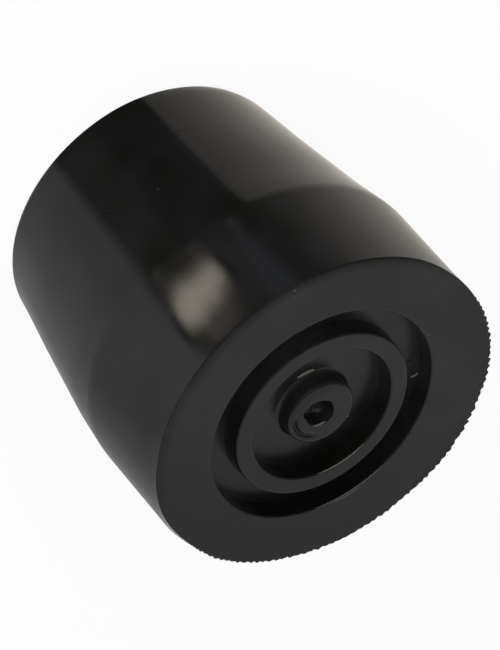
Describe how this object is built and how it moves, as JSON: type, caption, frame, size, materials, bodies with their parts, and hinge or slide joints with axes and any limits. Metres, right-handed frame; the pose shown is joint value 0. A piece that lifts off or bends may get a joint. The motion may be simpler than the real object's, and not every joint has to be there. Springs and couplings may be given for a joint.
{
  "type": "cane tip",
  "caption": "Tapered rubber cane tip: blind round socket for a tube, straight-sided foot, and a flat tread with a groove, a ring and a recessed middle boss.",
  "frame": {"origin": "middle of the socket's rim, on the axis, in the plane that the rim stands on", "axes": "+Z along the axis, from the socket's rim up to the tread; X and Y are any two directions across it"},
  "size_m": [0.038, 0.038, 0.0353],
  "materials": {
    "rubber": "smooth black moulded rubber, glossy on the sides and satin on the tread"
  },
  "bodies": {
    "root": {"cane_tip": "rubber"}
  },
  "joints": []
}
